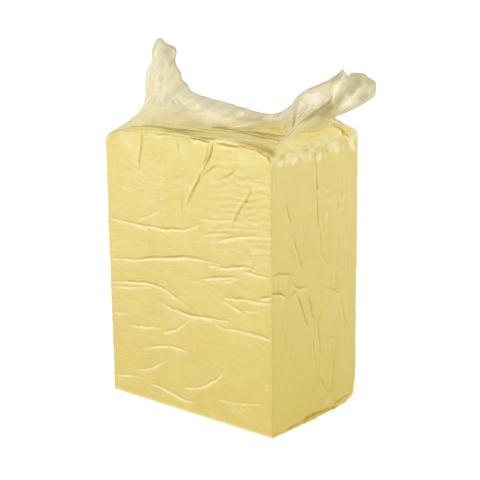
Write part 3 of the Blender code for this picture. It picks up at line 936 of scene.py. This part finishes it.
# Where the film leaves the cheese: share along the bag, then x and y of the front half and
# x and y of the back half
FOOT_LINE = (
    (0.0, -140, 0, -140, 0), (GUSSET_SHARE, -140, -87, -140, 87), (0.285, -100, -24, -100, 12),
    (0.36, -62, -35, -62, -8), (0.45, -20, -33, -20, -14), (0.53, 15, -19, 15, -1),
    (0.6, 43, 1, 43, 18), (0.68, 73, 18, 73, 44), (0.74, 95, 6, 100, 62), (0.78, 118, -38, 122, 78),
    (1 - GUSSET_SHARE, 137, -80, 140, 87), (0.84, 130, -48, 134, 78), (0.88, 117, -18, 127, 67),
    (0.92, 110, 4, 121, 58), (0.96, 114, 18, 119, 46), (1.0, 119, 32, 119, 32),
)
PLEAT_DEPTH = 1.6 * MM
PLEATS = (13, 21)
PLEATS_GROW = (0.1, 0.6)
PLEATS_IN_TENT = 0.5
LEFT_EAR_EDGE = ((-132, 3), (-146, 36), (-149, 74), (-138, 92), (-139, 106), (-134, 118))
SEAM = (
    (-134, 118), (-131, 122), (-124, 124), (-117, 122), (-94, 110), (-91, 105), (-96, 97),
    (-93, 88), (-80, 70), (-61, 54), (0, 44), (66, 35), (98, 46), (120, 66), (166, 86),
    (176, 95), (183, 97), (189, 90), (196, 94), (212, 93), (226, 87), (230, 82),
)
RIGHT_EAR_EDGE = (
    (119, 11), (152, 24), (166, 36), (196, 49), (217, 60), (228, 68), (230, 75), (230, 82),
)


def smooth_curve(points, shares):
    """Places at these shares of a smooth curve through points, by their chord lengths."""
    knots = np.array(points, dtype=float)
    knots = np.vstack((2 * knots[0] - knots[1], knots, 2 * knots[-1] - knots[-2]))
    chords = np.linalg.norm(np.diff(knots[1:-1], axis=0), axis=1)
    ends = np.concatenate(([0.0], np.cumsum(chords)))
    way = np.asarray(shares) * ends[-1]
    i = np.clip(np.searchsorted(ends, way, side="right") - 1, 0, len(chords) - 1)
    u = ((way - ends[i]) / chords[i])[..., None]
    p0, p1, p2, p3 = knots[i], knots[i + 1], knots[i + 2], knots[i + 3]
    return 0.5 * (
        2 * p1 + (p2 - p0) * u + (2 * p0 - 5 * p1 + 4 * p2 - p3) * u**2
        + (3 * p1 - p0 - 3 * p2 + p3) * u**3
    )


def film_foot(s, half):
    """Where this half of the free film leaves the cheese: x and y."""
    shares, x_front, y_front, x_back, y_back = np.array(FOOT_LINE).T
    x, y = (x_front, y_front) if half < 0 else (x_back, y_back)
    return np.interp(s, shares, x) * MM, np.interp(s, shares, y) * MM


def film_sheet(half):
    """Points of one half of the free film as a grid, rows from the cheese up to the seam."""
    columns = np.arange(FILM_STEPS_ALONG + 1) / FILM_STEPS_ALONG
    s, t = np.meshgrid(
        np.interp(columns, *zip(*FILM_COLUMNS)), np.linspace(0.0, 1.0, FILM_STEPS_UP + 1)
    )
    foot_x, foot_y = film_foot(s, half)
    foot_z = crown_height(foot_x, foot_y) + shoulder_lift(foot_x, foot_y) - FOOT_DIP
    seam = smooth_curve(SEAM, s) * MM
    left, right = smooth_curve(LEFT_EAR_EDGE, t) * MM, smooth_curve(RIGHT_EAR_EDGE, t) * MM
    lean = t**TENT_LEAN
    flat = np.stack((blend(foot_x, seam[..., 0], lean), blend(foot_z, seam[..., 1], t)), axis=-1)
    shares = np.stack((lean, t), axis=-1)
    left_chord = blend(np.array(LEFT_EAR_EDGE[0]), np.array(SEAM[0]), shares) * MM
    right_chord = blend(np.array(RIGHT_EAR_EDGE[0]), np.array(SEAM[-1]), shares) * MM
    flat += ((1 - s) ** 3)[..., None] * (left - left_chord)
    flat += (s**3)[..., None] * (right - right_chord)
    from_end = np.minimum(s, 1 - s)
    closing = np.sqrt(np.sin(np.pi / 2 * np.minimum(from_end / END_SHARE, 1.0)))
    ear = 1.0 - ramp(EAR_SHARE / 3, EAR_SHARE, from_end)
    wall = blend(FIN_HALF_WALL, EAR_HALF_WALL, ear) * closing * (1.0 - t**4)
    full = ramp(1.0 - 2 * EAR_SHARE, 1.0 - EAR_SHARE / 3, s) * (half < 0)
    full *= 1.0 - ramp(FULL_TENT_END, 1.0, s)
    closed = np.minimum(t / blend(TENT_SHARE, FULL_TENT_SHARE, full), 1.0)
    spread = foot_y * (1.0 - closed ** blend(1.0, FULL_TENT_ROUND, full))
    pleat = sum(np.sin(2 * np.pi * number * s + number) for number in PLEATS)
    pleat *= PLEAT_DEPTH * ramp(*PLEATS_GROW, t) * blend(PLEATS_IN_TENT, 1.0, ear)
    points = np.stack(
        (flat[..., 0], half * wall + spread + pleat * closing, HEIGHT + flat[..., 1]), axis=-1
    )
    return s, t, points


# Creases of the free film seen from the front: start and end as x and height above the
# block's shoulder in millimetres, bow, half width, rise, and the highlight they paint on the
# film, below 0 a painted shade
CREASES = (
    ((-124, 99), (-129, 12), 2, 6, 1.6, 0.45),
    ((-113, 95), (-122, 14), -2, 4, 1.2, 0.3),
    ((-137, 90), (-143, 58), 1, 2.2, 1.0, 0.6),
    ((-106, 117), (-90, 110), 1, 3, 1.8, 1.0),
    ((-112, 112), (-99, 88), 2, 6, -2.0, -0.25),
    ((-98, 93), (-93, 88), 0, 4, -1.5, -0.4),
    ((-110, 52), (-84, 44), -2, 3, 1.0, 0.3),
    ((-106, 43), (-96, 36), 1, 2.5, -1.2, -0.3),
    ((-93, 44), (-86, 34), -1, 2.2, -1.2, -0.3),
    ((-82, 41), (-45, 33), -2, 5, 1.4, 0.6),
    ((-74, 38), (-64, 33), 1, 2.2, 1.0, 0.7),
    ((-52, 31), (-2, 25), 2, 4.5, 1.5, 0.75),
    ((-35, 30), (-28, 23), 1, 2, 1.0, 0.8),
    ((-22, 29), (-16, 22), -1, 1.6, 1.0, 0.8),
    ((-8, 28), (10, 24), 1, 3, 1.0, 0.5),
    ((8, 31), (28, 30), -1, 4.5, 1.3, 0.75),
    ((-60, 18), (60, 12), 3, 5, -1.2, -0.15),
    ((60, 27), (84, 40), 2, 3.5, 1.2, 0.45),
    ((100, 18), (112, 46), -2, 2.2, -1.2, -0.35),
    ((116, 52), (123, 50), 0, 2, 1.0, 0.9),
    ((127, 56), (152, 61), 3, 5.5, 1.4, 0.7),
    ((140, 40), (168, 50), 2, 6, -1.0, -0.4),
    ((182, 88), (169, 53), 2, 2.0, 1.6, 0.8),
    ((191, 80), (181, 60), 2, 1.8, 1.0, 0.4),
    ((186, 72), (176, 50), 2, 2.5, -1.2, -0.6),
    ((187, 56), (210, 80), 3, 5.5, 1.6, 0.55),
    ((190, 78), (199, 66), -1, 5, -1.4, -0.6),
    ((175, 44), (205, 62), -2, 2.5, 1.0, 0.3),
    ((227, 81), (221, 66), 2, 1.5, 1.2, 0.3),
    ((207, 92), (226, 87), -1, 2.4, 1.2, 0.8),
    ((150, 70), (176, 78), 2, 4, 1.0, 0.2),
    ((171, 66), (163, 46), 1, 4, -1.0, -0.45),
    ((178, 90), (160, 66), 2, 3.5, -1.0, -0.45),
    ((200, 88), (208, 76), 1, 5, -1.0, -0.45),
    ((-88, 44), (-60, 30), 2, 2.2, 1.0, 0.6),
    ((-60, 38), (-48, 26), 1, 3.5, 1.0, 0.6),
    ((-30, 22), (-6, 16), 1, 2.5, 1.0, 0.5),
    ((126, 62), (146, 66), 1, 2.2, 1.0, 0.8),
    ((215, 88), (224, 84), 0, 3, -0.8, -0.5),
    ((205, 64), (219, 68), 0, 3, -0.8, -0.4),
    ((-119, 88), (-124, 40), 1, 3, -1.0, -0.35),
    ((-127, 112), (-131, 98), 1, 3, 1.0, 0.5),
)
# Pleats that run up the film from the near right corner: start and end as shares along
# and up the sheet, half width as a share along, rise, painted highlight (below 0, painted shade)
CORNER_PLEATS = (
    ((0.806, 0.0), (0.800, 0.75), 0.0020, 1.2, 1.0),
    ((0.799, 0.0), (0.790, 0.70), 0.0022, -1.2, -0.7),
    ((0.792, 0.0), (0.780, 0.66), 0.0022, 1.2, 0.9),
    ((0.784, 0.0), (0.769, 0.62), 0.0024, -1.1, -0.6),
    ((0.775, 0.0), (0.757, 0.66), 0.0024, 1.1, 0.8),
    ((0.765, 0.0), (0.745, 0.60), 0.0030, -1.0, -0.5),
    ((0.754, 0.02), (0.730, 0.60), 0.0030, 1.0, 0.6),
    ((0.742, 0.04), (0.716, 0.58), 0.0040, -0.8, -0.3),
    ((0.728, 0.06), (0.702, 0.60), 0.0035, 0.8, 0.4),
    ((0.822, 0.0), (0.812, 0.70), 0.0030, -0.6, -0.3),
    ((0.845, 0.05), (0.840, 0.60), 0.0040, 0.6, 0.3),
)
# The sheet's length against its height, and the strength of its crumples and creases
SHEET_PROPORTION = 20
CRUMPLES_IN_EARS, CRUMPLES_IN_TENT, SHARP_CRUMPLES = 1.5, 1.6, 0.8
# The back half's crease rise and painted highlight, the strength of the painted highlights, and how
# much darker each ear's outer part is
BACK_HALF_RISE, BACK_HALF_HIGHLIGHT = -0.6, 0.2
HIGHLIGHT_STRENGTH = 1.8
LEFT_EAR_DARKER, RIGHT_EAR_DARKER = 0.12, 0.28


def crease_share(u, v, start, end, bow, half_width):
    """1 along the middle of one crease, falling smoothly to 0 beside it and at its ends."""
    run = (end[0] - start[0], end[1] - start[1])
    squared = run[0] ** 2 + run[1] ** 2
    way = ((u - start[0]) * run[0] + (v - start[1]) * run[1]) / squared
    along = np.clip(way, 0.0, 1.0)
    aside = ((u - start[0]) * run[1] - (v - start[1]) * run[0]) / math.sqrt(squared)
    aside -= bow * 4 * along * (1 - along)
    past = (way - along) * math.sqrt(squared)
    taper = np.sqrt(np.clip(np.sin(np.pi * np.clip(along, 0.05, 0.95)), 0.0, 1.0))
    return taper * np.exp(-(aside**2 + past**2) / half_width**2)


def soft_noise(s, t, scale_s, scale_t, seed):
    """Smooth noise over the sheet, stretched by its two scales."""
    values = [
        noise.noise((a * scale_s, b * scale_t, seed * 4.7)) for a, b in zip(s.ravel(), t.ravel())
    ]
    return np.array(values).reshape(s.shape)


def creased_sheet(half):
    """One half of the free film with its creases, and the light or shade painted at each point."""
    s, t, points = film_sheet(half)
    along = np.gradient(points, axis=1)
    up = np.gradient(points, axis=0)
    normals = np.cross(along, up)
    normals /= np.maximum(np.linalg.norm(normals, axis=2, keepdims=True), 1e-12)
    from_end = np.minimum(s, 1 - s)
    ear = 1.0 - ramp(EAR_SHARE / 3, EAR_SHARE, from_end)
    free = ramp(0.0, 0.10, t) * (1.0 - 0.7 * ramp(0.95, 1.0, t)) * ramp(0.0, 0.02, from_end)
    seed = 3 if half < 0 else 8
    depth = CRUMPLES_IN_EARS * ear * soft_noise(s, t, 30.0, 2.6, seed)
    depth += CRUMPLES_IN_TENT * (1 - ear) * soft_noise(s, t, 11.0, 3.0, seed + 1)
    sharp = 0.35 - np.abs(soft_noise(s, t, 24.0, 7.0, seed + 2))
    depth += SHARP_CRUMPLES * sharp
    # Painted highlight on the sharp crumples, with some random tone
    film_highlight_and_shade = 0.22 * np.clip(sharp, -1.0, 1.0) + 0.18 * soft_noise(s, t, 22.0, 3.0, seed + 3)
    darker = RIGHT_EAR_DARKER * ramp(0.80, 0.92, s)
    darker += LEFT_EAR_DARKER * (1.0 - ramp(0.02, 0.2, s))
    film_highlight_and_shade -= darker * ramp(0.3, 0.55, t)
    x, z = points[..., 0] / MM, (points[..., 2] - HEIGHT) / MM
    side_rise, side_highlight = (1.0, 1.0) if half < 0 else (BACK_HALF_RISE, BACK_HALF_HIGHLIGHT)
    for start, end, bow, half_width, rise, highlight in CREASES:
        share = crease_share(x, z, start, end, bow, half_width)
        depth += side_rise * rise * share
        film_highlight_and_shade += HIGHLIGHT_STRENGTH * highlight * share * side_highlight
    for start, end, half_width, rise, highlight in CORNER_PLEATS:
        low, high = ((share_along * SHEET_PROPORTION, up) for share_along, up in (start, end))
        width = half_width * SHEET_PROPORTION
        share = crease_share(s * SHEET_PROPORTION, t, low, high, 0, width)
        depth += rise * share
        film_highlight_and_shade += highlight * share
    points = points + normals * (depth * free * MM)[..., None]
    return s, t, points, np.clip(film_highlight_and_shade, -0.5, 1.0)


def film_object(name):
    """Both halves of the free film as one sheet, joined along the seam and the ear edges."""
    mesh = bpy.data.meshes.new(name)
    rows = FILM_STEPS_UP + 1
    columns = FILM_STEPS_ALONG + 1
    halves = [creased_sheet(half) for half in (-1, 1)]
    points = np.concatenate([h[2].reshape(-1, 3) for h in halves])
    first = np.arange(rows * columns).reshape(rows, columns)
    faces = []
    for i, flip in ((0, False), (1, True)):
        index = first + i * rows * columns
        quads = np.stack((index[:-1, :-1], index[:-1, 1:], index[1:, 1:], index[1:, :-1]), axis=-1)
        quads = quads.reshape(-1, 4)
        faces.append(quads[:, ::-1] if flip else quads)
    mesh.from_pydata(points, [], np.concatenate(faces).tolist())
    layer = mesh.uv_layers.new(name="along_and_up")
    shares = np.concatenate([np.stack((h[0], h[1]), axis=-1).reshape(-1, 2) for h in halves])
    corners = np.empty(len(mesh.loops), dtype=np.int32)
    mesh.loops.foreach_get("vertex_index", corners)
    layer.data.foreach_set("uv", shares[corners].astype(np.float32).ravel())
    film_highlight_and_shade = np.concatenate([h[3].ravel() for h in halves])
    mesh.attributes.new("film_highlight_and_shade", "FLOAT", "POINT").data.foreach_set("value", film_highlight_and_shade)
    mesh.shade_smooth()
    return link(bpy.data.objects.new(name, mesh))


free_film = film_object("free_film")

# Film colours: tan, cream, painted highlight, seam, painted shade, and the tent's painted lighter
# tone
FILM_TAN = (0.62, 0.54, 0.26, 1.0)
FILM_CREAM = (0.76, 0.69, 0.41, 1.0)
FILM_HIGHLIGHT = (1.0, 0.975, 0.80, 1.0)
FILM_SEAM = (0.50, 0.43, 0.22, 1.0)
FILM_PAINTED_SHADE = (0.46, 0.395, 0.19, 1.0)
FILM_TENT_LIGHTENED = (0.90, 0.85, 0.64, 1.0)
TRANSLUCENT_SHARE = 0.5

film_material = bpy.data.materials.new("free_film")
add = shader_tree(film_material)
sheet = add("UVMap", uv_map="along_and_up").outputs[0]
shares = add("SeparateXYZ", {"Vector": sheet})
along_share, up_share = shares.outputs["X"], shares.outputs["Y"]
streaks = drawn_noise(add, sheet, (60.0, 6.0, 1.0), 5.0)
place = add("TexCoord").outputs["Object"]
patches = add("TexNoise", {"Vector": place, "Scale": 30.0, "Detail": 3.0}).outputs["Fac"]
# Painted highlights on the creases and crumples, and painted shade in their hollows
highlight_and_shade_share = share_of(add, "film_highlight_and_shade")
painted_light_strength = add("Math", {0: highlight_and_shade_share}, operation="ABSOLUTE").outputs[0]
# The tent's lower part painted lighter, lifting it out of its shade
tent_light_share = combined(
    add,
    "MULTIPLY",
    mapped(add, up_share, (0.35, 0.85), (0.95, 0.0)),
    mapped(add, along_share, (0.70, 0.79), (1.0, 0.1)),
)
film_shade_share = mapped(add, highlight_and_shade_share, (-0.5, -0.05), (0.7, 0.0))
seam_share = mapped(add, up_share, (0.955, 0.985))
plain_film = mixed(add, patches, FILM_TAN, FILM_CREAM)
lightened_tent_film = mixed(add, tent_light_share, plain_film, FILM_TENT_LIGHTENED)
lit_film = mixed(add, highlight_and_shade_share, lightened_tent_film, FILM_HIGHLIGHT)
shade_painted_film = mixed(add, film_shade_share, lit_film, FILM_PAINTED_SHADE)
film_colour = mixed(add, seam_share, shade_painted_film, FILM_SEAM)
crease_milk = mapped(add, combined(add, "ADD", patches, painted_light_strength), (0.2, 1.3), (0.46, 0.78))
tent_milk = mapped(add, up_share, (0.2, 0.6), (0.4, 0.0))
full_milk = combined(add, "ADD", crease_milk, tent_milk, clamped=True)
near_foot = mapped(add, up_share, (0.015, 0.075), (0.9, 0.0))
clearing = combined(add, "MULTIPLY", near_foot, mapped(add, along_share, (0.58, 0.74)))
milk_left = combined(add, "SUBTRACT", 1.0, clearing)
milk = combined(add, "MULTIPLY", full_milk, milk_left)
crinkle = add("Bump", {"Height": streaks, "Strength": 0.25, "Distance": 0.0012})
clear = add("BsdfTransparent")
gloss = add(
    "BsdfPrincipled",
    {
        "Base Color": film_colour,
        "Roughness": 0.28,
        "Specular IOR Level": 0.6,
        "Coat Weight": 0.4,
        "Coat Roughness": 0.14,
        "Normal": crinkle.outputs[0],
    },
)
glow_through = add("BsdfTranslucent", {"Color": film_colour})
milky = add(
    "MixShader",
    {"Fac": TRANSLUCENT_SHARE, 1: gloss.outputs[0], 2: glow_through.outputs[0]},
)
film_mix = add("MixShader", {"Fac": milk, 1: clear.outputs[0], 2: milky.outputs[0]})
add("OutputMaterial", {"Surface": film_mix.outputs[0]})
free_film.data.materials.append(film_material)
free_film.visible_shadow = False
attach(free_film, "root")
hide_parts("bag_top")

block_grid.free()
